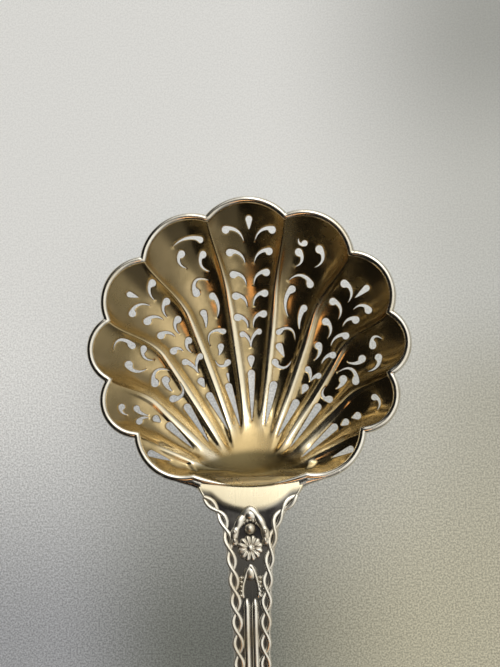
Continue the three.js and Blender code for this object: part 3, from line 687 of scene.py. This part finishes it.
# ---- The stem ----
# A silver casting soldered to the outside of the heel: a flat face that arches back and down to
# a level foot, with a rounded underside. The face's ground is sunk and left dark between the
# dressings, and bright on the plain crescent next to the bowl.
STEM_FOOT = 13.0
ARCH_RISE, ARCH_REACH, FOOT_REACH = 11.7, 40.0, 80.0
STEM_WIDTH, STEM_THICK, HEEL_THICK, HEEL_TAPER = 8.9, 2.1, 3.4, 9.0
GROUND_DEPTH = 0.16
HEEL_HALF = NOTCH_REACH[-1] * np.sin(RIB_RIM_ANGLES[-1])
HEEL_SAG = HEEL_BACK + NOTCH_REACH[-1] * np.cos(RIB_RIM_ANGLES[-1])
OUTLINE = np.array([
    [0, 1.06], [0.012, 0.95], [0.025, 0.78], [0.042, 0.6], [0.066, 0.503], [0.1, 0.43],
    [0.15, 0.38], [0.24, 0.335], [0.42, 0.322], [0.76, 0.32], [0.82, 0.38], [0.86, 0.5],
    [0.9, 0.62], [0.935, 0.66], [0.965, 0.58], [0.985, 0.42], [1, 0.16]])

face_start = np.array([-HEEL_BACK, RIM_HEIGHT + RIM_SLOPE - RIM_RADIUS])
face_foot = np.array([STEM_FOOT - STEM_REACH, BOWL_FLOOR + STEM_THICK])
share = np.linspace(0, 1, 2001)[:, None]
face = (face_start * (1 - share) ** 3
        + 3 * share * (1 - share) ** 2 * np.array([-ARCH_REACH, face_start[1] + ARCH_RISE])
        + 3 * share**2 * (1 - share) * np.array([-FOOT_REACH, face_foot[1]])
        + face_foot * share**3)
face = np.concatenate([face, face_foot - np.linspace(0, STEM_FOOT, 60)[1:, None] * [1, 0]])
face_along = np.concatenate([[0], np.cumsum(np.hypot(*np.diff(face, axis=0).T))])
face_way = np.gradient(face, face_along, axis=0)
FACE_LENGTH = face_along[-1]


def on_face(along, across, height):
    """A point at a distance along the face's line, across it, and over it: the line's point
    plus the height times the line's upward normal. Before the heel the line runs on straight."""
    along, across, height = np.broadcast_arrays(along, across, height)
    y, z = (np.interp(along, face_along, face[:, axis]) for axis in (0, 1))
    way_y, way_z = (np.interp(along, face_along, face_way[:, axis]) for axis in (0, 1))
    before = np.minimum(along, 0)
    return np.stack([across, y + way_y * before + way_z * height,
                     z + way_z * before - way_y * height], axis=-1)


outline_curve = spline(OUTLINE * [FACE_LENGTH, STEM_WIDTH])


def half_width(along):
    """Half the stem's width at a distance along its face."""
    return np.interp(along, *outline_curve.T)


# Stations shared by the dressings.
PITCH, SWING, SHOULDER_SWING, SPREAD = 3.3, 0.62, 0.5, (8.5, 20.0)
STRAND = 0.5
BORDER_START, BORDER_MARGIN = 1.6, 0.05
MEDAL_LENGTH, MEDAL_WIDTH, MEDAL_MARGIN, MEDAL_WIRE, DRESS_GAP = 15.0, 8.6, 1.5, 0.7, 4.8
MEDAL_AT = FACE_LENGTH - MEDAL_MARGIN - MEDAL_LENGTH / 2
DRESS_END = MEDAL_AT - (MEDAL_LENGTH + MEDAL_WIRE) / 2 - DRESS_GAP


def swing_at(along):
    """How far a border's strands swing from its middle, less at the shoulder."""
    return SHOULDER_SWING + (SWING - SHOULDER_SWING) * smooth(*SPREAD, along)


guide_along = np.linspace(BORDER_START, DRESS_END, 1200)
guide_across = half_width(guide_along) - swing_at(guide_along) - STRAND / 2 - BORDER_MARGIN
guide_length = np.concatenate([[0], np.cumsum(np.hypot(np.diff(guide_along),
                                                       np.diff(guide_across)))])
CELLS = np.rint(guide_length[-1] / PITCH)
guide_turn = np.pi * CELLS * guide_length / guide_length[-1]

# The plain crescent, the sunk ground's edge, and how far the casting's own edges are rounded.
CRESCENT_LENGTH, CRESCENT_ARC, CRESCENT_SHORTEST = 3.8, 0.055, 1.6
GROUND_EDGE, EDGE_ROUND, BEAD_DEPTH, TIP_ROUND = (0.2, 0.42), 0.3, 0.16, 0.35


def below_crescent(along, across):
    """0 on the plain crescent next to the bowl and 1 past its lower edge, which is a parabola,
    nearest the heel at the stem's edges."""
    lower = np.maximum(CRESCENT_LENGTH - CRESCENT_ARC * across**2, CRESCENT_SHORTEST)
    return smooth(-0.3, 0.6, along - lower)


def stem_height(along, across):
    """The face: level, less the sunk ground inside the borders' outer strands, which fades out
    towards the plain crescent and the plain end, and less a rounding at the very edge."""
    inset = half_width(along) - np.abs(across)
    sunk = smooth(*GROUND_EDGE, inset) * below_crescent(along, across)
    sunk = sunk * (1 - smooth(DRESS_END + 1, DRESS_END + 3, along))
    return -GROUND_DEPTH * sunk - EDGE_ROUND * (1 - smooth(-0.1, 0.3, inset))


# The casting's edge follows the strands in and out. Its section is a level face over a rounded
# underside, drawn in at the heel along the bowl's wall and rounded off at the tip.
rows, columns_over, columns_under = 420, 49, 26
along = np.linspace(0, FACE_LENGTH - TIP_ROUND, rows)[:, None]
beads = np.interp(along, guide_along, np.abs(np.sin(guide_turn)), right=1.0)
half = half_width(along) - BEAD_DEPTH * (1 - beads) * smooth(1.5, 5, along) * (1 - smooth(
    DRESS_END - 1, DRESS_END + 1, along))
over = np.sin(np.linspace(-1, 1, columns_over) * np.pi / 2)[None]
turn = np.linspace(0, np.pi, columns_under + 2)[None, 1:-1]
under = np.sign(np.cos(turn)) * np.abs(np.cos(turn)) ** 0.55
thick = STEM_THICK + (HEEL_THICK - STEM_THICK) * (1 - smooth(0, HEEL_TAPER, along))
across = half * np.concatenate([over, under], axis=1)
height = np.concatenate([
    np.broadcast_to(stem_height(along, half_width(along) * over), (rows, columns_over)),
    -EDGE_ROUND - (thick - EDGE_ROUND) * np.sin(turn) ** 0.8], axis=1)
wall = np.maximum(0, (-height - SHEET) / 1.9) + 0.15 + HEEL_SAG * (across / HEEL_HALF) ** 2
drawn_in = -wall * (1 - smooth(0, 5, along))
tip_turn = np.linspace(0.3, 1.5, 5)[:, None]
tip = on_face(FACE_LENGTH - TIP_ROUND + TIP_ROUND * np.sin(tip_turn),
              across[-1:] * np.cos(tip_turn),
              -STEM_THICK / 2 + (height[-1:] + STEM_THICK / 2) * np.cos(tip_turn))
points = np.concatenate([on_face(along + drawn_in, across, height), tip])
stem = add_mesh("stem_casting", points.reshape(-1, 3), closed_tube(points), "stem")
below = below_crescent(along, across)
sunk = smooth(0.25, 0.6, half_width(along) - np.abs(across)) * below
sunk = sunk * ((1 - smooth(DRESS_END, DRESS_END + 2.5, along)) * (1 - 0.15 * smooth(7, 11, along)))
for name, values in (("sunk", sunk), ("crescent", 1 - below)):
    everywhere = np.zeros(points.shape[:2])
    everywhere[:rows, :columns_over] = values[:, :columns_over]
    set_mask(stem, name, everywhere.ravel())

CREAM, BLACK = (0.86, 0.78, 0.58, 1), (0.03, 0.028, 0.03, 1)


def stem_colour(tree, surface):
    """Silver, warm on the crescent, with the black of the sunk ground broken by the blotches."""
    silver = mix(tree, mask(tree, "crescent"), silver_colour(tree, surface), CREAM)
    broken = maths(tree, "MULTIPLY", mask(tree, "sunk"),
                   ramp(tree, surface["Blotch"], 0.2, 0.6, 0.85, 1.0))
    return mix(tree, broken, silver, BLACK)


STEM_SILVER = metal("stem_silver", stem_colour, (0.2, 0.4), 0.000006)
stem.data.materials.append(STEM_SILVER)


# ---- The trellis borders ----
# Two strands that swing apart and cross along each edge of the stem, each going over and under
# in turn, cast and then chased, so that their tops are flattened. The ground shows black in the
# diamonds. The left border's strands are tilted a little.
STRAND_LEVEL, STRAND_WEAVE, STRAND_TILT = 0.1, 0.13, np.radians(12)
STRAND_WIDE, STRAND_HIGH, STRAND_POWER = (0.29, 0.09), (0.25, 0.05), 0.65


def across_face(along, across):
    """The unit vectors along a path on the face and square to it, in the bowl's frame."""
    points = on_face(along, across, 0.0)
    way = np.gradient(points, axis=0)
    way /= np.linalg.norm(way, axis=1, keepdims=True)
    up = on_face(along, across, 1.0) - points
    return np.cross(up, way), up


def strand(side, phase):
    """One strand: a flattened oval carried along the guide, swinging by a sine and lifting by a
    cosine, and fullest where it swings furthest."""
    way = np.gradient(np.column_stack([guide_along, side * guide_across]), axis=0)
    way /= np.linalg.norm(way, axis=1, keepdims=True)
    offset = phase * swing_at(guide_along) * np.sin(guide_turn)
    along = guide_along - way[:, 1] * offset
    across = side * guide_across + way[:, 0] * offset
    height = STRAND_LEVEL + STRAND_WEAVE * phase * np.cos(guide_turn)
    sideways, up = across_face(along, across)
    tilt = STRAND_TILT if side < 0 else 0
    tilted = (sideways * np.cos(tilt) - up * np.sin(tilt),
              up * np.cos(tilt) + sideways * np.sin(tilt))
    bulge = np.abs(np.sin(guide_turn))
    return tube(on_face(along, across, height), *tilted, STRAND_WIDE[0] + STRAND_WIDE[1] * bulge,
                STRAND_HIGH[0] + STRAND_HIGH[1] * bulge, sides=12, power=STRAND_POWER)


def add_tubes(name, tubes, node):
    """A silver piece made of several capped tubes."""
    faces, start = [], 0
    for points in tubes:
        faces += closed_tube(points, start)
        start += points.shape[0] * points.shape[1]
    piece = add_mesh(name, np.concatenate([points.reshape(-1, 3) for points in tubes]), faces,
                     node)
    piece.data.materials.append(DRESSING)


DRESSING = metal("dressing_silver", silver_colour, (0.26, 0.4), 0.000004)
for name, side in (("left", -1), ("right", 1)):
    add_tubes(f"trellis_{name}", [strand(side, 1), strand(side, -1)], f"border_{name}")

# ---- The hood, its knob and the bud ----
# A small niche chased in high relief below the plain crescent: a pointed arch with lobed
# shoulders and beads in its pocket, over a smooth knob. The bud below the rosette is the same
# in small, with beaded legs.
HOOD_TIP, HOOD_LENGTH, HOOD_HALF = 3.4, 5.6, 3.05
KNOB_AT, KNOB_LENGTH, KNOB_WIDTH, KNOB_HEIGHT = 6.9, 1.9, 1.9, 0.8
BUD_TIP, BUD_LENGTH, BUD_HALF = 12.6, 5.0, 1.45
ARCH = np.array([[1, -0.92], [0.86, -1.05], [0.65, -1], [0.42, -0.78], [0.24, -0.56],
                 [0.1, -0.32], [0, 0]])
ARCH_LUMP, ARCH_TAPER, ARCH_FLAT = 0.28, 0.25, 0.7


def arch(tip, length, half, thick, lift, lumps):
    """A pointed arch: a tube along a route from one foot over the tip to the other, whose
    thickness swells by a cosine in a number of lumps down each side, and closes at the feet."""
    route = np.concatenate([ARCH, ARCH[-2::-1] * [1, -1]])
    route = spline(route * [length, half], 12)
    along, across = tip + route[:, 0], route[:, 1]
    sideways, up = across_face(along, across)
    down = route[:, 0] / length
    swell = ARCH_LUMP * np.abs(np.cos(np.pi * lumps * down)) * (1 - ARCH_TAPER * down)
    swell = 1 - ARCH_LUMP + swell
    ends = np.sqrt(np.clip((1.02 - down) / 0.1, 0.05, 1))
    return tube(on_face(along, across, lift), sideways, up, thick * swell * ends,
                ARCH_FLAT * thick * swell * ends, sides=14)


DOME_SINK = 0.15


def dome(along, across, length, width, height, sides=28, levels=8):
    """Half an egg on the face: rings that shrink by a cosine as they rise by a sine, from a
    little below the face."""
    turn = np.linspace(0, 2 * np.pi, sides, endpoint=False)[None]
    rise = np.linspace(0, 1, levels)[:, None] * np.pi / 2
    radius = np.maximum(np.cos(rise), 0.02)
    points = on_face(along + radius * length * np.cos(turn) / 2,
                     across + radius * width * np.sin(turn) / 2,
                     -DOME_SINK + (height + DOME_SINK) * np.sin(rise))
    return points[:, ::-1]


hood_beads = [dome(5.3 + 0.35 * abs(step), 0.5 * step, 0.6, 0.6, 0.5, 12, 5)
              for step in (-2, -1, 0, 1, 2)]
shoulder_beads = [dome(HOOD_TIP + HOOD_LENGTH * share, side * HOOD_HALF * 0.8, 1.3, 1.1, 0.85,
                       16, 6) for side in (-1, 1) for share in (0.72, 0.95)]
add_tubes("hood_niche", [arch(HOOD_TIP + 0.5, HOOD_LENGTH, HOOD_HALF - 0.6, 0.78, 0.15, 3),
                         dome(HOOD_TIP + 1.2, 0, 2.3, 2.6, 0.7, 20, 7), *hood_beads,
                         *shoulder_beads], "hood")
add_tubes("hood_knob", [dome(KNOB_AT, 0, KNOB_LENGTH, KNOB_WIDTH, KNOB_HEIGHT)], "knob")
bud_beads = [dome(BUD_TIP + BUD_LENGTH * share, side * BUD_HALF * 1.02, 0.75, 0.8, 0.5, 12, 5)
             for side in (-1, 1) for share in (0.4, 0.54, 0.68, 0.82, 0.96)]
add_tubes("bud_leaf", [arch(BUD_TIP + 0.2, BUD_LENGTH, BUD_HALF - 0.2, 0.36, 0.2, 1),
                       dome(BUD_TIP + 1.25, 0, 2.5, 2.3, 0.5, 20, 7), *bud_beads], "bud")


# ---- The rosettes ----
# A twelve-petalled flower under the hood, and its twin in the medallion at the end: rounded
# petals round a smooth boss, cast and then chased.
ROSETTE_AT, ROSETTE_RADIUS, PETALS = 9.95, 2.1, 12
PETAL_MIDDLE, PETAL_HALF, PETAL_RISE, PETAL_NOTCH = 0.62, 0.4, 0.38, 0.13
BOSS, BOSS_RISE = 0.3, 0.5


def flower(along):
    """A height over a round grid: each petal is a dome across its own wedge, and falls away at
    its tip, and the boss is half a ball."""
    turn = np.linspace(0, 2 * np.pi, PETALS * 10, endpoint=False)[None]
    radius = np.concatenate([np.linspace(1, BOSS, 16), np.linspace(0.29, 0.02, 9)])[:, None]
    wedge = np.abs(np.sin(PETALS * turn / 2))
    petal = np.sqrt(np.clip(1 - ((radius - PETAL_MIDDLE) / PETAL_HALF) ** 2, 0, 1))
    petal = petal * (0.35 + 0.65 * wedge)
    boss = np.sqrt(np.clip(1 - (radius / BOSS) ** 2, 0, 1))
    height = np.where(radius > BOSS, 0.1 + PETAL_RISE * petal, 0.12 + BOSS_RISE * boss)
    outer = radius * (1 - PETAL_NOTCH * (1 - wedge) * smooth(0.7, 1, radius))
    height = height * smooth(1.02, 0.97, radius) - DOME_SINK * smooth(0.97, 1.02, radius)
    return on_face(along + ROSETTE_RADIUS * outer * np.cos(turn),
                   ROSETTE_RADIUS * outer * np.sin(turn), height)[:, ::-1]


add_tubes("rosette_flower", [flower(ROSETTE_AT)], "rosette")
add_tubes("medal_flower", [flower(MEDAL_AT)], "medal_rosette")

# ---- The rods and the medallion's wire ----
# Two half-round rods run side by side down the middle of the stem, and an oval wire frames the
# plain end.
ROD_START, ROD_SPACING, ROD_HALF, ROD_HEIGHT = 17.8, 1.3, 0.56, 0.5
along = np.linspace(ROD_START, DRESS_END, 240)
taper = np.sqrt(np.clip((along - ROD_START) / 1.2, 0.08, 1))
taper = taper * np.sqrt(np.clip((DRESS_END - along) / 0.8, 0.08, 1))
for name, side in (("left", -1), ("right", 1)):
    across = np.full(along.shape, side * ROD_SPACING / 2)
    sideways, up = across_face(along, across)
    points = tube(on_face(along, across, 0.05), sideways, up, ROD_HALF * taper,
                  ROD_HEIGHT * taper, 14)
    add_tubes(f"rod_{name}_round", [points], f"rod_{name}")
turn = np.linspace(0, 2 * np.pi, 120, endpoint=False)
along = MEDAL_AT + MEDAL_LENGTH / 2 * np.cos(turn)
across = MEDAL_WIDTH / 2 * np.sin(turn)
path = on_face(along, across, 0.15)
way = np.roll(path, -1, axis=0) - np.roll(path, 1, axis=0)
up = on_face(along, across, 1.15) - path
sideways = np.cross(up, way / np.linalg.norm(way, axis=1, keepdims=True))
points = tube(path, sideways, up, MEDAL_WIRE / 2, MEDAL_WIRE * 0.6, 12)
ring = add_mesh("medal_wire", points.reshape(-1, 3),
                grid_faces(*points.shape[:2], closed=True).tolist(), "medal_ring")
ring.data.materials.append(DRESSING)

# ---- The studio ----
# A pale floor in fine grain, in a dark room whose right half is one soft wall of light, so
# that polished metal shows a bright half and a dark one. A window towards the bowl's tip and a
# small warm lamp above the stem add to it. The floor shows the camera and the metal its own
# light, painted lighter towards the top and darker towards the bottom, with a painted shadow
# round the stem, so its real shadows stay faint.
# Floor colours with painted light: lighter towards the top, darker towards the bottom, and darkest
# in a painted shadow round the stem.
FLOOR_TOP = ((0.42, 0.424, 0.417, 1), (0.304, 0.308, 0.293, 1))
FLOOR_FAR, FLOOR_NEAR = (0.207, 0.211, 0.2, 1), (0.248, 0.245, 0.212, 1)
FLOOR_LEFT, FLOOR_SHADE, FLOOR_RIGHT = (
    (0.185, 0.19, 0.2, 1), (0.095, 0.1, 0.09, 1), (0.265, 0.252, 0.19, 1))
FLOOR_MIDDLE, FLOOR_PLAIN = (0.0, 0.06, 0.0), (0.355, 0.355, 0.33, 1)
bpy.ops.mesh.primitive_plane_add(size=4, location=(0, 0, 0))
floor = bpy.context.object
floor.name = "studio_floor"
floor_material = bpy.data.materials.new("pale_floor")
floor_material.use_nodes = True
tree = floor_material.node_tree
place = node(tree, "ShaderNodeTexCoord").outputs["Object"]
split = node(tree, "ShaderNodeSeparateXYZ", Vector=place)


def pass_over(axis, low, high, first, second):
    """The floor's colour passing from one to another between two places on an axis, in metres."""
    return mix(tree, ramp(tree, split.outputs[axis], low, high), first, second)


top = pass_over("Y", 0.08, 0.11, FLOOR_TOP[1], FLOOR_FAR)
top = pass_over("Y", 0.045, 0.068, FLOOR_NEAR, top)
top = pass_over("X", 0.0, 0.042, FLOOR_TOP[0], top)
# The foot of the floor: painted shade, darkest in a painted shadow beside the stem.
foot = pass_over("X", -0.036, -0.012, FLOOR_LEFT, FLOOR_SHADE)
foot = pass_over("X", -0.008, 0.03, foot, FLOOR_RIGHT)
shade = pass_over("Y", 0.006, 0.06, foot, top)
away = node(tree, "ShaderNodeVectorMath", {"operation": "DISTANCE"}, _0=place, _1=FLOOR_MIDDLE)
shade = mix(tree, ramp(tree, away.outputs["Value"], 0.06, 0.22), shade, FLOOR_PLAIN)
speckle = node(tree, "ShaderNodeTexNoise", Vector=place, Scale=3400.0, Detail=2.0)
grain = maths(tree, "MULTIPLY", ramp(tree, speckle.outputs[0], 0.3, 0.7, -1.0, 1.0),
              ramp(tree, split.outputs["Y"], 0.01, 0.09, 0.3, 0.06))
shade = node(tree, "ShaderNodeVectorMath", {"operation": "SCALE"}, _0=shade,
             Scale=maths(tree, "ADD", 1.0, grain)).outputs[0]
shader = tree.nodes["Principled BSDF"]
shader.inputs["Roughness"].default_value = 0.7
shader.inputs["Emission Strength"].default_value = 1.0
tree.links.new(shade, shader.inputs["Base Color"])
rays = node(tree, "ShaderNodeLightPath").outputs
seen = maths(tree, "MAXIMUM", rays["Is Camera Ray"], rays["Is Glossy Ray"])
tree.links.new(mix(tree, seen, (0, 0, 0, 1), shade), shader.inputs["Emission Color"])
floor.data.materials.append(floor_material)

# The camera looks down at the bowl, a few degrees from straight above, so that one pixel of the
# picture falls on one point of the bowl.
CAMERA_TARGET = Vector((0.0, HUB_TO_CENTRE + HUB[1], 8.0)) * MM
FRAME_WIDTH, FRAME_HEIGHT, TARGET_PIXEL = 500, 667, (250.4, 361)
PIXELS_PER_MM, CAMERA_AWAY, SENSOR = 6.11, 300.0, 36
ELEVATION, ASIDE, ROLL = np.radians(87), np.radians(5), np.radians(-1.3)
back = Vector((np.sin(ASIDE), -np.cos(ELEVATION) * np.cos(ASIDE),
               np.sin(ELEVATION) * np.cos(ASIDE)))
right = Vector((0, 1, 0)).cross(back).normalized()
up = back.cross(right)
right, up = (right * np.cos(ROLL) + up * np.sin(ROLL), up * np.cos(ROLL) - right * np.sin(ROLL))
shift = right * (FRAME_WIDTH / 2 - TARGET_PIXEL[0]) - up * (FRAME_HEIGHT / 2 - TARGET_PIXEL[1])
shift = shift / PIXELS_PER_MM * MM
camera = bpy.data.objects.new("camera", bpy.data.cameras.new("camera"))
bpy.context.collection.objects.link(camera)
camera.matrix_world = Matrix.Translation(CAMERA_TARGET + shift + back * CAMERA_AWAY * MM) @ (
    Matrix((right, up, back)).transposed().to_4x4())
camera.data.sensor_width = SENSOR
camera.data.lens = SENSOR * CAMERA_AWAY / (FRAME_HEIGHT / PIXELS_PER_MM)
camera.data.clip_start, camera.data.clip_end = 0.01, 20
bpy.context.scene.camera = camera

DAYLIGHT, LAMPLIGHT = (1.0, 0.96, 0.87, 1), (1.0, 0.52, 0.22, 1)
world = bpy.data.worlds.new("studio")
bpy.context.scene.world = world
world.use_nodes = True
tree = world.node_tree
tree.nodes.clear()
way = node(tree, "ShaderNodeTexCoord").outputs["Generated"]


def glow(direction, low, high, colour, strength):
    """A soft round light in the world: a direction, and the cosines where it starts and is
    full."""
    near = node(tree, "ShaderNodeVectorMath", {"operation": "DOT_PRODUCT"}, _0=way,
                _1=Vector(direction).normalized())
    level = ramp(tree, near.outputs["Value"], low, high, 0.0, strength)
    return node(tree, "ShaderNodeBackground", Color=colour, Strength=level)


def slant(*weights):
    """How far a direction points along an axis with these parts: their dot product."""
    return node(tree, "ShaderNodeVectorMath", {"operation": "DOT_PRODUCT"}, _0=way,
                _1=weights).outputs["Value"]


studio = node(tree, "ShaderNodeBackground", Color=(1.0, 0.95, 0.88, 1), Strength=0.01)
wall = ramp(tree, slant(1.0, 0.12, 0.0), -0.06, 0.01)
wall = maths(tree, "MULTIPLY", wall, ramp(tree, slant(1.0, 1.0, 0.0), -0.35, 0.12, 0.28, 1.0))
wall = maths(tree, "MULTIPLY", wall, ramp(tree, slant(0.0, 0.0, 1.0), 0.25, 0.75, 0.3, 1.0))
for light in (node(tree, "ShaderNodeBackground", Color=DAYLIGHT, Strength=wall),
              glow((0.1, 0.8, 0.6), 0.78, 0.92, DAYLIGHT, 0.7),
              glow((-0.04, -0.47, 0.88), 0.988, 0.992, LAMPLIGHT, 1.6)):
    studio = node(tree, "ShaderNodeAddShader", _0=studio.outputs[0], _1=light.outputs[0])
plain = node(tree, "ShaderNodeBackground", Color=(0.62, 0.62, 0.61, 1), Strength=1.0)
seen = node(tree, "ShaderNodeLightPath").outputs["Is Camera Ray"]
both = node(tree, "ShaderNodeMixShader", _0=seen, _1=studio.outputs[0], _2=plain.outputs[0])
tree.links.new(both.outputs[0], node(tree, "ShaderNodeOutputWorld").inputs["Surface"])

# The window: a soft square lamp behind the bowl's tip, aimed at the bowl.
window = bpy.data.objects.new("window", bpy.data.lights.new("window", "AREA"))
bpy.context.collection.objects.link(window)
window.data.size, window.data.energy = 0.2, 0.25
window.location = (0.08, 0.42, 0.4)
aim = Vector((0.08, 0.42, 0.4)) - CAMERA_TARGET
window.rotation_euler = aim.to_track_quat("Z", "Y").to_euler()
bpy.context.scene.view_settings.view_transform = "Standard"
